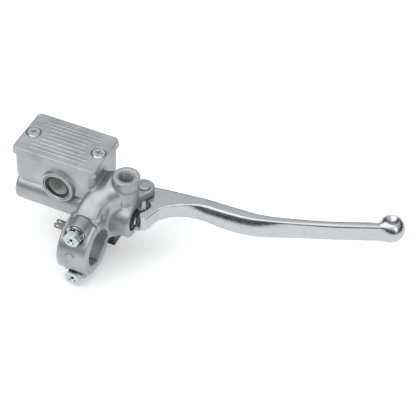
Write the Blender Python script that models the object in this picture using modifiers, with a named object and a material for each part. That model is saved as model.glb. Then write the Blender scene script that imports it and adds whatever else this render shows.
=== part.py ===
"""Motorcycle front brake master cylinder with its lever, built at real size.

Frame: the origin is the centre of the handlebar clamp's bore. +X runs along the
handlebar, outboard to the lever's tip. +Y points forward, away from the rider.
+Z is up. Every size below is in millimetres and mm() turns it to metres.
"""
import math

import bmesh
import bpy
from mathutils import Matrix, Vector

# ---------------------------------------------------------------- driving sizes
OBJECT_NAME = "brake_master_cylinder"
GAP = 0.3                  # running gap between neighbouring pieces
ROUND = 32                 # sides of a large round piece
SMALL_ROUND = 20           # sides of a small round piece

BAR_R = 12.75              # bore for a 25.4 mm handlebar
CLAMP_R = 19.5
CLAMP_HALF_W = 10.5
CLAMP_SPLIT = 0.4          # each half stops this far from the parting plane
BOLT_Z = 18.0
LUG_R = 7.3
LUG_DEPTH = 13.0
SPOTFACE_Y = -10.0
M6_R = 2.9
M6_HOLE_R = 3.25

AXIS_Y = 25.0              # hydraulic bore's axis
AXIS_Z = 11.0
BARREL_R = 11.3
BARREL_END_X = -58.5
MOUTH_X = 26.0
MOUTH_R = 13.5
BORE_R = 7.0
BORE_END_X = -47.0
PORT_R = 4.3
COUNTERBORE_R = 8.6
COUNTERBORE_X = 16.5
GROOVE_R = 9.5            # the circlip's groove
COMPENSATING_PORT_X = -13.0
SUPPLY_PORT_X = -5.5

COVER_L = 60.5
COVER_W = 39.2
COVER_X = -28.9
COVER_Y = 34.0
COVER_TOP = 50.2
COVER_BOTTOM = 45.2
COVER_DRAFT = 0.5
RESERVOIR_INSET = 1.2
RESERVOIR_TOP = 44.9
RESERVOIR_BOTTOM = 21.0
RESERVOIR_WALL = 3.4
RESERVOIR_FLOOR = 25.0
RESERVOIR_CORNER = 4.0
COVER_SCREW_X = 23.8       # each side of the cover's centre

GLASS_X = -25.5
GLASS_Z = 28.5
GLASS_BOSS_R = 12.0
GLASS_FACE_Y = 12.6

BOSS_X = 18.0
BOSS_Y = 27.5
BOSS_TOP = 44.5
BOSS_TOP_R = 9.1
BOSS_FOOT_R = 8.0
MIRROR_R = 5.0

PIVOT_X = 22.8
PIVOT_Y = 45.6
EAR_R = 7.2
HUB_R = 7.6
CAM_X = 32.0              # centre of the lever's rounded cam nose
CAM_Y = 25.5
CAM_R = 4.0
FINGER_Y = (31.5, 35.5)    # the lever's switch finger
EAR_TOP = 22.0
EAR_BOTTOM = -1.5
LEVER_HALF_ROOT = 5.4
LEVER_HALF_BLADE = 7.2
LEVER_SLOT_HALF = 5.8
BALL = (184.7, 90.8)
BALL_R = 9.4
BUSH_R = 5.8
PIVOT_R = 3.95

SWITCH_X = (-20.0, 14.0)
SWITCH_Y = (18.5, 31.0)
SWITCH_Z = (-15.0, -6.5)
PLUNGER_Y = 33.5
PLUNGER_Z = -5.6
PLUNGER_TIP_X = 22.3
TERMINALS = (("switch_terminal_a", 16.0), ("switch_terminal_b", 20.0))
TERMINAL_Z = (-14.0, -9.4)

# ---------------------------------------------------------------- scene helpers


def mm(value):
    """Millimetres to metres."""
    return value * 0.001


def clear_scene():
    for item in list(bpy.data.objects):
        bpy.data.objects.remove(item, do_unlink=True)


def make_collection(name):
    group = bpy.data.collections.new(name)
    bpy.context.scene.collection.children.link(group)
    return group


def make_material(name, colour, roughness, metallic):
    material = bpy.data.materials.new(name)
    material.use_nodes = True
    shader = material.node_tree.nodes["Principled BSDF"]
    shader.inputs["Base Color"].default_value = (*colour, 1.0)
    shader.inputs["Roughness"].default_value = roughness
    shader.inputs["Metallic"].default_value = metallic
    return material


clear_scene()
PARTS = make_collection(OBJECT_NAME)
CUTTERS = make_collection("cutters")

SIDE_VIEW = Matrix(((0, 0, 1, 0), (1, 0, 0, 0), (0, 1, 0, 0), (0, 0, 0, 1)))
FRONT_VIEW = Matrix(((1, 0, 0, 0), (0, 0, 1, 0), (0, 1, 0, 0), (0, 0, 0, 1)))
AXIS_TURN = {
    "X": Matrix.Rotation(math.pi / 2, 4, "Y"),
    "Y": Matrix.Rotation(-math.pi / 2, 4, "X"),
    "Z": Matrix.Identity(4),
}


def link_piece(name, mesh, place=Matrix.Identity(4)):
    """An object in the parts collection, placed by its matrix."""
    piece = bpy.data.objects.new(name, mesh)
    PARTS.objects.link(piece)
    piece.matrix_world = place
    return piece


def axis_place(axis, centre):
    """The matrix that turns local Z onto an axis and moves to a centre in mm."""
    return Matrix.Translation(Vector(mm(v) for v in centre)) @ AXIS_TURN[axis]


def cylinder(name, axis, centre, radius, length, sides=ROUND, end_radius=None):
    """A cylinder or cone frustum whose middle is at centre; radius is its low end's."""
    mesh = bpy.data.meshes.new(name)
    shape = bmesh.new()
    top = radius if end_radius is None else end_radius
    bmesh.ops.create_cone(shape, cap_ends=True, segments=sides, radius1=mm(radius),
                          radius2=mm(top), depth=mm(length))
    shape.to_mesh(mesh)
    shape.free()
    return link_piece(name, mesh, axis_place(axis, centre))


def rod(name, axis, centre, span, radius, sides=ROUND):
    """A cylinder along an axis, from span[0] to span[1] on it, through centre."""
    middle = list(centre)
    middle["XYZ".index(axis)] = (span[0] + span[1]) / 2
    return cylinder(name, axis, middle, radius, span[1] - span[0], sides)


def block(name, low, high):
    """A box between two corners in mm."""
    mesh = bpy.data.meshes.new(name)
    shape = bmesh.new()
    size = [mm(h - l) for l, h in zip(low, high)]
    bmesh.ops.create_cube(shape, size=1.0, matrix=Matrix.Diagonal((*size, 1.0)))
    shape.to_mesh(mesh)
    shape.free()
    centre = Vector(mm((l + h) / 2) for l, h in zip(low, high))
    return link_piece(name, mesh, Matrix.Translation(centre))


def curve_to_mesh(guide, place):
    """The closed, welded mesh of a filled curve; the curve is removed."""
    graph = bpy.context.evaluated_depsgraph_get()
    mesh = bpy.data.meshes.new_from_object(guide.evaluated_get(graph))
    name = guide.name
    bpy.data.objects.remove(guide, do_unlink=True)
    shape = bmesh.new()
    shape.from_mesh(mesh)
    bmesh.ops.remove_doubles(shape, verts=shape.verts, dist=mm(0.002))
    shape.to_mesh(mesh)
    shape.free()
    mesh.name = name
    return link_piece(name, mesh, place)


def prism(name, outline, low, high, place=Matrix.Identity(4)):
    """A flat outline in mm, drawn in local XY, made solid from low to high on local Z."""
    curve = bpy.data.curves.new(name, "CURVE")
    curve.dimensions = "2D"
    curve.fill_mode = "BOTH"
    curve.extrude = mm((high - low) / 2)
    spline = curve.splines.new("POLY")
    spline.points.add(len(outline) - 1)
    for point, (u, v) in zip(spline.points, outline):
        point.co = (mm(u), mm(v), 0.0, 1.0)
    spline.use_cyclic_u = True
    guide = bpy.data.objects.new(name, curve)
    PARTS.objects.link(guide)
    lift = Matrix.Translation((0.0, 0.0, mm((low + high) / 2)))
    return curve_to_mesh(guide, place @ lift)


def turned(name, axis, centre, profile, sides=ROUND):
    """A turned solid. profile is (radius, height along the axis) from top to bottom.

    A profile that starts and ends on the axis is solid; a closed loop of points
    off the axis is a ring.
    """
    mesh = bpy.data.meshes.new(name)
    shape = bmesh.new()
    points = [shape.verts.new((mm(r), 0.0, mm(h))) for r, h in profile]
    for start, end in zip(points, points[1:]):
        shape.edges.new((start, end))
    if profile[0][0] > 0.0:
        shape.edges.new((points[-1], points[0]))
    shape.to_mesh(mesh)
    shape.free()
    piece = link_piece(name, mesh, axis_place(axis, centre))
    screw = piece.modifiers.new("turn", "SCREW")
    screw.steps = sides
    screw.render_steps = sides
    screw.use_merge_vertices = True
    screw.merge_threshold = 0.00001
    return piece


def combine(piece, tools, operation):
    """Join tools to a piece, cut them from it, or keep what they share."""
    for tool in tools:
        PARTS.objects.unlink(tool)
        CUTTERS.objects.link(tool)
        tool.hide_render = True
        tool.display_type = "WIRE"
        step = piece.modifiers.new(operation.lower(), "BOOLEAN")
        step.operation = operation
        step.object = tool
        step.solver = "EXACT"
    return piece


def join(piece, *tools):
    return combine(piece, tools, "UNION")


def cut(piece, *tools):
    return combine(piece, tools, "DIFFERENCE")


def finish(piece, material):
    """Give a finished piece its material and smooth its round faces."""
    piece.data.materials.clear()
    piece.data.materials.append(material)
    piece.data.shade_smooth()
    piece.data.set_sharp_from_angle(angle=math.radians(30.0))
    return piece


# ---------------------------------------------------------------- outlines


def arc(centre, radius, start, end, steps):
    """Points on an arc, with its angles in degrees."""
    spread = [math.radians(start + (end - start) * i / steps) for i in range(steps + 1)]
    return [(centre[0] + radius * math.cos(a), centre[1] + radius * math.sin(a)) for a in spread]


def rounded_rectangle(length, width, radius, steps=4):
    """A rectangle about the origin with round corners, anticlockwise."""
    half_l = length / 2 - radius
    half_w = width / 2 - radius
    corners = [(half_l, half_w), (-half_l, half_w), (-half_l, -half_w), (half_l, -half_w)]
    points = []
    for index, corner in enumerate(corners):
        points += arc(corner, radius, 90.0 * index, 90.0 * (index + 1), steps)
    return points


def capsule(first, first_r, second, second_r, steps=8):
    """The hull of two circles, anticlockwise."""
    run = (second[0] - first[0], second[1] - first[1])
    distance = math.hypot(*run)
    heading = math.degrees(math.atan2(run[1], run[0]))
    open_angle = math.degrees(math.acos((first_r - second_r) / distance))
    near = arc(first, first_r, heading + open_angle, heading + 360.0 - open_angle, steps)
    far = arc(second, second_r, heading - open_angle, heading + open_angle, steps)
    return near + far


# ---------------------------------------------------------------- materials

CAST_SILVER = make_material("cast_silver", (0.50, 0.52, 0.54), 0.42, 0.75)
LEVER_SILVER = make_material("lever_silver", (0.60, 0.61, 0.63), 0.32, 0.85)
ZINC = make_material("zinc_plate", (0.60, 0.66, 0.66), 0.30, 0.95)
STEEL = make_material("spring_steel", (0.45, 0.46, 0.48), 0.30, 1.0)
ALLOY = make_material("turned_alloy", (0.62, 0.63, 0.65), 0.28, 1.0)
BRONZE = make_material("sintered_bronze", (0.45, 0.29, 0.14), 0.45, 0.9)
RUBBER = make_material("black_rubber", (0.015, 0.016, 0.017), 0.65, 0.0)
BLACK_PLASTIC = make_material("black_plastic", (0.02, 0.022, 0.023), 0.45, 0.0)
WHITE_PLASTIC = make_material("white_nylon", (0.72, 0.71, 0.68), 0.5, 0.0)
GLASS = make_material("smoked_glass", (0.32, 0.34, 0.33), 0.08, 0.0)
BRASS = make_material("tinned_brass", (0.28, 0.25, 0.20), 0.5, 0.9)

BARREL_AXIS = (0.0, AXIS_Y, AXIS_Z)

# ---------------------------------------------------------------- main casting


def reservoir_solids():
    outer = rounded_rectangle(COVER_L - 2 * RESERVOIR_INSET, COVER_W - 2 * 0.9,
                              RESERVOIR_CORNER)
    place = Matrix.Translation((mm(COVER_X), mm(COVER_Y), 0.0))
    walls = prism("reservoir_walls", outer, RESERVOIR_BOTTOM, RESERVOIR_TOP, place)
    inner = rounded_rectangle(COVER_L - 2 * (RESERVOIR_INSET + RESERVOIR_WALL),
                              COVER_W - 2 * (0.9 + RESERVOIR_WALL), RESERVOIR_CORNER - 1.0)
    cavity = prism("reservoir_cavity", inner, RESERVOIR_FLOOR, COVER_TOP, place)
    rim = rounded_rectangle(COVER_L - 5.6, COVER_W - 5.0, RESERVOIR_CORNER - 0.5)
    rebate = prism("diaphragm_rebate", rim, RESERVOIR_TOP - 1.2, COVER_TOP, place)
    return walls, cavity, rebate


def barrel_solid():
    return turned("barrel", "X", BARREL_AXIS, [
        (0.0, MOUTH_X), (MOUTH_R - 1.0, MOUTH_X), (MOUTH_R, MOUTH_X - 1.0),
        (MOUTH_R, 20.5), (BARREL_R, 18.0), (BARREL_R, BARREL_END_X + 1.5),
        (BARREL_R - 1.5, BARREL_END_X), (0.0, BARREL_END_X)])


def arm_solid():
    """The perch between the clamp and the barrel: what its three outlines share."""
    side = [(CLAMP_SPLIT, -6.0), (17.0, -6.0), (24.0, -4.0), (28.0, -1.6), (36.0, 4.0),
            (36.5, 20.0), (36.5, 37.5), (31.0, 39.5), (25.0, 39.0), (20.0, 37.0), (12.0, 32.0),
            (5.0, 27.2), (CLAMP_SPLIT, 23.8)]
    plan = [(-9.2, -5.0), (10.1, -5.0), (10.1, 8.0), (12.6, 13.5), (17.4, 19.2),
            (17.4, 50.0), (-9.2, 50.0)]
    front = [(-30.0, -20.0), (30.0, -20.0), (30.0, 39.2), (6.0, 38.2), (-0.9, 34.8),
             (-6.9, 27.6), (-9.9, 21.0), (-30.0, 21.0)]
    arm = prism("arm", side, -20.0, 30.0, SIDE_VIEW)
    return combine(arm, [prism("arm_plan", plan, -20.0, 50.0),
                         prism("arm_front", front[::-1], -10.0, 60.0, FRONT_VIEW)], "INTERSECT")


def clamp_half(name, side):
    """Half of the clamp's ring and its two bolt lugs; side is +1 forward, -1 rear."""
    ring = rod(name, "X", (0, 0, 0), (-CLAMP_HALF_W, CLAMP_HALF_W), CLAMP_R, 48)
    ends = sorted((side * CLAMP_SPLIT, side * LUG_DEPTH))
    lugs = [rod(name + "_lug", "Y", (0, 0, z), ends, LUG_R, 24) for z in (-BOLT_Z, BOLT_Z)]
    join(ring, *lugs)
    far = side * 2 * CLAMP_R
    split = sorted((side * CLAMP_SPLIT, -far))
    cut(ring, block(name + "_split", (-30, split[0], -30), (30, split[1], 30)))
    return ring


def bolt_holes(radius, span):
    return [rod("bolt_hole", "Y", (0, 0, z), span, radius, SMALL_ROUND)
            for z in (-BOLT_Z, BOLT_Z)]


def ear(name, low, high):
    outline = capsule((13.0, 28.0), 8.0, (PIVOT_X, PIVOT_Y), EAR_R)
    return prism(name, outline, low, high)


def screw_pillars():
    reach = (RESERVOIR_FLOOR - 1.0, RESERVOIR_TOP - 1.2)
    return [rod("screw_pillar", "Z", (COVER_X + s * COVER_SCREW_X, COVER_Y, 0), reach, 4.0, 16)
            for s in (-1, 1)]


def master_cylinder_body():
    walls, cavity, rebate = reservoir_solids()
    body = clamp_half("master_cylinder_body", 1)
    boss = turned("mirror_boss", "Z", (BOSS_X, BOSS_Y, 0), [
        (0.0, BOSS_TOP), (BOSS_TOP_R - 0.6, BOSS_TOP), (BOSS_TOP_R, BOSS_TOP - 0.6),
        (BOSS_FOOT_R, 17.2), (0.0, 17.2)])
    glass_boss = cylinder("glass_boss", "Y", (GLASS_X, GLASS_FACE_Y + 3.2, GLASS_Z),
                          GLASS_BOSS_R, 6.4)
    pad = block("switch_pad", (-12.0, 17.5, SWITCH_Z[1] + GAP), (8.0, 27.7, 5.0))
    join(body, arm_solid(), barrel_solid(), walls, boss, glass_boss, pad,
         ear("ears", EAR_BOTTOM, EAR_TOP))
    cut(body, cavity, rebate)
    join(body, *screw_pillars())
    holes = [
        rod("bar_bore", "X", (0, 0, 0), (-40, 40), BAR_R, 48),
        turned("hydraulic_bore", "X", BARREL_AXIS, [
            (0.0, 41.0), (COUNTERBORE_R, 41.0), (COUNTERBORE_R, 19.5), (GROOVE_R, 19.5),
            (GROOVE_R, 18.1), (COUNTERBORE_R, 18.1), (COUNTERBORE_R, COUNTERBORE_X),
            (BORE_R, COUNTERBORE_X), (BORE_R, BORE_END_X), (PORT_R, BORE_END_X),
            (PORT_R, -80.0), (0.0, -80.0)]),
        rod("compensating_port", "Z", (COMPENSATING_PORT_X, AXIS_Y, 0), (AXIS_Z, 30), 1.2, 12),
        rod("supply_port", "Z", (SUPPLY_PORT_X, AXIS_Y, 0), (AXIS_Z, 30), 1.2, 12),
        rod("mirror_hole", "Z", (BOSS_X, BOSS_Y, 0), (24, 60), MIRROR_R, 24),
        rod("pivot_hole", "Z", (PIVOT_X, PIVOT_Y, 0), (-20, 40), PIVOT_R + 0.35, 24),
        block("lever_slot", (14.6, 27.0, AXIS_Z - LEVER_SLOT_HALF),
              (60, 70, AXIS_Z + LEVER_SLOT_HALF)),
        block("finger_slot", (17.6, FINGER_Y[0] - 2.2, -30), (60, FINGER_Y[1] + 2.3, AXIS_Z)),
        rod("glass_seat", "Y", (GLASS_X, 0, GLASS_Z), (0, GLASS_FACE_Y + 3.0), 10.0),
        rod("glass_window", "Y", (GLASS_X, 0, GLASS_Z), (5, 22), 6.0, 24),
        rod("switch_screw_hole", "Z", (-6.0, 21.5, 0), (-20, 1.0), 1.9, 12),
    ]
    holes += bolt_holes(M6_HOLE_R, (-40, 16.0))
    holes += [rod("cover_screw_hole", "Z", (COVER_X + s * COVER_SCREW_X, COVER_Y, 0),
                  (31.0, 60), 2.1, 12) for s in (-1, 1)]
    cut(body, *holes)
    return finish(body, CAST_SILVER)


def clamp_cap():
    cap = clamp_half("handlebar_clamp_cap", -1)
    cut(cap, rod("cap_bore", "X", (0, 0, 0), (-40, 40), BAR_R, 48), *bolt_holes(3.3, (-40, 40)))
    cut(cap, *[rod("spotface", "Y", (0, 0, z), (-40, SPOTFACE_Y), 7.0, 24)
               for z in (-BOLT_Z - 0.5, BOLT_Z + 0.5)])
    return finish(cap, CAST_SILVER)


# ---------------------------------------------------------------- clamp hardware


def clamp_bolt(name, z):
    """An M6 hexagon bolt along Y, with its head towards the rider."""
    head = SPOTFACE_Y - 3.4
    bolt = cylinder(name, "Y", (0, head - 2.1, z), 5.77, 4.2, 6)
    join(bolt, rod(name + "_shank", "Y", (0, 0, z), (head - 1.0, 14.0), M6_R, SMALL_ROUND))
    return finish(bolt, ZINC)


def washer(name, z, near, thickness, inner, outer, split=False):
    """A washer on a clamp bolt, whose rear face is thickness behind near."""
    ring = turned(name, "Y", (0, 0, z), [(outer, near), (outer, near - thickness),
                                          (inner, near - thickness), (inner, near)], 24)
    if split:
        cut(ring, block(name + "_split", (-0.5, near - 5, z + 1.0), (0.5, near + 5, z + 9.0)))
    return finish(ring, ZINC)


def clamp_hardware():
    for side, z in (("upper", BOLT_Z), ("lower", -BOLT_Z)):
        clamp_bolt("clamp_bolt_" + side, z)
        washer("clamp_flat_washer_" + side, z, SPOTFACE_Y - GAP, 1.1, 3.3, 6.3)
        washer("clamp_spring_washer_" + side, z, SPOTFACE_Y - 1.7, 1.4, 3.3, 5.4, True)


# ---------------------------------------------------------------- reservoir pieces


def reservoir_cover():
    """A plate with drafted sides, a bevelled top edge and a recess below."""
    place = Matrix.Translation((mm(COVER_X), mm(COVER_Y), 0.0))
    foot = rounded_rectangle(COVER_L + 2 * COVER_DRAFT, COVER_W + 2 * COVER_DRAFT,
                             RESERVOIR_CORNER)
    cover = prism("reservoir_cover", foot, COVER_BOTTOM, COVER_TOP, place)
    shrink = ((COVER_L - 1.0) / (COVER_L + 2 * COVER_DRAFT),
              (COVER_W - 1.0) / (COVER_W + 2 * COVER_DRAFT))
    shape = bmesh.new()
    shape.from_mesh(cover.data)
    for vertex in shape.verts:
        if vertex.co.z > 0.0:
            vertex.co.x *= shrink[0]
            vertex.co.y *= shrink[1]
    shape.to_mesh(cover.data)
    shape.free()
    recess = prism("cover_recess", rounded_rectangle(37.0, 31.6, 3.0),
                   COVER_BOTTOM - 5, COVER_BOTTOM + 2.2, place)
    cut(cover, recess)
    for side in (-1, 1):
        spot = (COVER_X + side * COVER_SCREW_X, COVER_Y, 0)
        cut(cover, rod("screw_clearance", "Z", spot, (40, 60), 2.2, 16))
        sink = turned("countersink", "Z", spot, [(0.0, 52.0), (5.1, 52.0), (5.1, 49.7),
                                                 (2.2, 46.8), (0.0, 46.8)], 24)
        cut(cover, sink)
    return finish(cover, CAST_SILVER)


def cover_screw(name, side):
    """A countersunk M4 screw with a cross recess."""
    spot = (COVER_X + side * COVER_SCREW_X, COVER_Y, 0)
    screw = turned(name, "Z", spot, [(0.0, 50.3), (4.2, 50.3), (4.75, 49.8), (1.85, 47.0),
                                     (1.85, 33.0), (0.0, 33.0)], SMALL_ROUND)
    for long_x, long_y in ((2.3, 0.5), (0.5, 2.3)):
        cut(screw, block("cross_recess", (spot[0] - long_x, spot[1] - long_y, 48.8),
                         (spot[0] + long_x, spot[1] + long_y, 52.0)))
    return finish(screw, ZINC)


def diaphragm_plate():
    place = Matrix.Translation((mm(COVER_X), mm(COVER_Y), 0.0))
    plate = prism("diaphragm_plate", rounded_rectangle(36.2, 30.8, 2.6),
                  COVER_BOTTOM + GAP, COVER_BOTTOM + 1.5, place)
    cut(plate, block("vent_slot", (COVER_X - 6, COVER_Y - 1, 40), (COVER_X + 6, COVER_Y + 1, 60)))
    return finish(plate, WHITE_PLASTIC)


def cover_diaphragm():
    """The rubber flange clamped under the cover, with a cup that hangs in the fluid."""
    place = Matrix.Translation((mm(COVER_X), mm(COVER_Y), 0.0))
    top = RESERVOIR_TOP - 0.1
    flange = rounded_rectangle(COVER_L - 6.3, COVER_W - 5.7, RESERVOIR_CORNER - 0.9)
    rubber = prism("cover_diaphragm", flange, top - 0.8, top, place)
    join(rubber, prism("diaphragm_cup", rounded_rectangle(37.0, 27.0, 4.0), 33.0, top - 0.2,
                       place))
    cut(rubber, prism("cup_inside", rounded_rectangle(34.6, 24.6, 3.0), 34.2, top + 5, place))
    cut(rubber, *[rod("flange_hole", "Z", (COVER_X + s * COVER_SCREW_X, COVER_Y, 0),
                      (40, 60), 2.3, 16) for s in (-1, 1)])
    return finish(rubber, RUBBER)


def splash_guard():
    """A bent plate that stands over the two ports in the reservoir's floor."""
    low = RESERVOIR_FLOOR + GAP
    guard = block("splash_guard", (-17.0, 20.6, low), (-4.2, 29.3, low + 3.0))
    cut(guard, block("guard_tunnel", (-30, 21.4, low - 5), (0, 28.5, low + 2.4)))
    return finish(guard, WHITE_PLASTIC)


def sight_glass():
    centre = (GLASS_X, 0, GLASS_Z)
    seat = GLASS_FACE_Y + 3.0 - GAP
    lens = turned("sight_glass_lens", "Y", centre, [
        (0.0, seat), (7.2, seat), (7.2, GLASS_FACE_Y + 1.1), (5.2, GLASS_FACE_Y + 0.4),
        (2.6, GLASS_FACE_Y + 0.1), (0.0, GLASS_FACE_Y)])
    finish(lens, GLASS)
    rear = GLASS_FACE_Y + 0.8
    seal = turned("sight_glass_seal", "Y", centre, [(8.6, seat), (8.6, rear), (7.5, rear),
                                                    (7.5, seat)])
    finish(seal, RUBBER)
    rear = GLASS_FACE_Y + 0.4
    ring = turned("sight_glass_retainer", "Y", centre, [(9.7, seat), (9.7, rear), (8.9, rear),
                                                        (8.9, seat)])
    finish(ring, ZINC)


# ---------------------------------------------------------------- hydraulic pieces


def hydraulic_piece(name, profile, material, sides=ROUND):
    return finish(turned(name, "X", BARREL_AXIS, profile, sides), material)


def hydraulics():
    land = BORE_R - 0.35
    piston = hydraulic_piece("piston", [
        (0.0, 27.7), (3.2, 27.7), (4.2, 26.7), (4.2, 16.5), (land, 16.5), (land, 14.0),
        (4.3, 14.0), (4.3, 10.5), (land, 10.5), (land, 8.5), (4.0, 8.5), (4.0, -4.0),
        (land, -4.0), (land, -7.0), (3.0, -7.0), (3.0, -12.0), (0.0, -12.0)], ALLOY)
    primary = hydraulic_piece("primary_cup", [
        (5.4, -7.3), (6.6, -10.6), (6.0, -10.9), (4.6, -9.2), (3.4, -9.2), (3.4, -7.3)], RUBBER, 24)
    secondary = hydraulic_piece("secondary_cup", [
        (5.6, 13.7), (6.6, 11.2), (6.0, 10.8), (5.2, 12.0), (4.6, 12.0), (4.6, 13.7)],
        RUBBER, 24)
    hydraulic_piece("piston_washer", [(8.2, 17.9), (8.2, 16.9), (4.8, 16.9), (4.8, 17.9)], STEEL)
    circlip = hydraulic_piece("circlip", [(9.1, 19.2), (9.1, 18.4), (6.8, 18.4), (6.8, 19.2)],
                              STEEL)
    cut(circlip, block("circlip_gap", (16, AXIS_Y - 2.2, 0), (21, AXIS_Y + 2.2, AXIS_Z)))
    hydraulic_piece("dust_boot", [
        (4.6, 27.6), (6.2, 27.4), (5.6, 25.8), (7.4, 24.8), (6.4, 23.4), (8.0, 22.2),
        (8.2, 20.0), (7.4, 20.0), (7.2, 21.8), (5.4, 23.3), (6.3, 24.7), (4.6, 25.8)],
        RUBBER, 24)
    return piston, primary, secondary


def coil(name, centre, length, radius, wire, turns):
    """A compression spring along +X from centre, as a round wire on a helix."""
    steps = 12
    curve = bpy.data.curves.new(name, "CURVE")
    curve.dimensions = "3D"
    curve.bevel_depth = mm(wire)
    curve.bevel_resolution = 1
    curve.use_fill_caps = True
    spline = curve.splines.new("POLY")
    count = turns * steps
    spline.points.add(count)
    for index, point in enumerate(spline.points):
        angle = 2.0 * math.pi * index / steps
        along = wire + (length - 2 * wire) * index / count
        point.co = (mm(along), mm(radius * math.cos(angle)), mm(radius * math.sin(angle)), 1.0)
    guide = bpy.data.objects.new(name, curve)
    PARTS.objects.link(guide)
    place = Matrix.Translation(Vector(mm(v) for v in centre))
    return finish(curve_to_mesh(guide, place), STEEL)


# ---------------------------------------------------------------- lever

RIDER_EDGE = [(38.6, 34.6), (43.5, 40.0), (49.5, 43.9), (56.0, 46.7), (62.0, 48.1),
              (69.0, 48.5), (80.0, 48.1), (91.0, 48.6),
              (100.0, 50.2), (108.0, 52.7), (117.0, 56.0), (128.0, 60.2), (140.0, 64.8),
              (152.5, 69.8), (165.0, 75.2), (177.0, 80.6), (185.0, 84.5)]
FRONT_EDGE = [(182.0, 90.0), (176.0, 85.8), (165.0, 80.8), (152.5, 75.0), (140.0, 70.0),
              (127.5, 65.2), (115.0, 60.8), (108.5, 58.8), (102.0, 57.5), (95.0, 56.7), (81.0, 56.4),
              (66.0, 56.6), (52.0, 56.4), (38.0, 55.0), (29.0, 53.4)]


def lever():
    """The lever: its plan outline, kept to its side outline, with the ball end."""
    hub = arc((PIVOT_X, PIVOT_Y), HUB_R, 78.0, 305.0, 16)
    notch = [(29.8, 38.4), (31.8, 36.6), (32.2, 33.8), (31.0, 31.2)]
    nose = arc((CAM_X, CAM_Y), CAM_R, 118.0, 312.0, 12)
    plan = prism("lever", RIDER_EDGE + FRONT_EDGE + hub + notch + nose, 0.0, 24.0)
    root_low = AXIS_Z - LEVER_HALF_ROOT
    root_high = AXIS_Z + LEVER_HALF_ROOT
    blade_low = AXIS_Z - LEVER_HALF_BLADE
    blade_high = AXIS_Z + LEVER_HALF_BLADE
    side = [(0, root_low), (48, root_low), (76, blade_low + 0.8), (104, blade_low),
            (200, blade_low), (200, blade_high), (104, blade_high), (76, blade_high - 0.8),
            (48, root_high), (0, root_high)]
    combine(plan, [prism("lever_side", side[::-1], 0.0, 120.0, FRONT_VIEW)], "INTERSECT")
    mesh = bpy.data.meshes.new("ball")
    shape = bmesh.new()
    bmesh.ops.create_uvsphere(shape, u_segments=24, v_segments=14, radius=mm(BALL_R))
    shape.to_mesh(mesh)
    shape.free()
    ball_place = Matrix.Translation((mm(BALL[0]), mm(BALL[1]), mm(AXIS_Z)))
    join(plan, link_piece("ball", mesh, ball_place))
    finger = [(PLUNGER_TIP_X + GAP, -7.7), (25.3, -7.7), (34.0, -0.5), (34.0, root_low + 1.5),
              (31.6, root_low + 1.5), (31.6, 1.0), (PLUNGER_TIP_X + GAP, -4.0)]
    join(plan, prism("switch_finger", finger[::-1], *FINGER_Y, FRONT_VIEW))
    cut(plan, rod("bush_hole", "Z", (PIVOT_X, PIVOT_Y, 0), (-20, 40), BUSH_R + GAP, 28))
    return finish(plan, LEVER_SILVER)


def pivot_hardware():
    spot = (PIVOT_X, PIVOT_Y, 0)
    bolt = turned("lever_pivot_bolt", "Z", spot, [
        (0.0, 25.0), (4.8, 25.0), (5.8, 24.2), (5.8, EAR_TOP + GAP), (PIVOT_R, EAR_TOP + GAP),
        (PIVOT_R, EAR_BOTTOM - 0.1), (M6_R, EAR_BOTTOM - 0.1), (M6_R, -9.0), (0.0, -9.0)], 24)
    cut(bolt, block("driver_slot", (PIVOT_X - 8, PIVOT_Y - 0.7, 23.8),
                    (PIVOT_X + 8, PIVOT_Y + 0.7, 30)))
    finish(bolt, ZINC)
    nut = cylinder("lever_pivot_nut", "Z", (PIVOT_X, PIVOT_Y, EAR_BOTTOM - 0.4 - 2.5),
                   5.77, 5.0, 6)
    cut(nut, rod("nut_hole", "Z", spot, (-20, 10), M6_HOLE_R, SMALL_ROUND))
    finish(nut, ZINC)
    high = AXIS_Z + LEVER_HALF_ROOT - 0.1
    low = AXIS_Z - LEVER_HALF_ROOT + 0.1
    bush = turned("lever_pivot_bush", "Z", spot, [(BUSH_R, high), (BUSH_R, low),
                                                  (PIVOT_R + 0.35, low),
                                                  (PIVOT_R + 0.35, high)], 28)
    finish(bush, BRONZE)
    return bush


# ---------------------------------------------------------------- brake light switch


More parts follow.
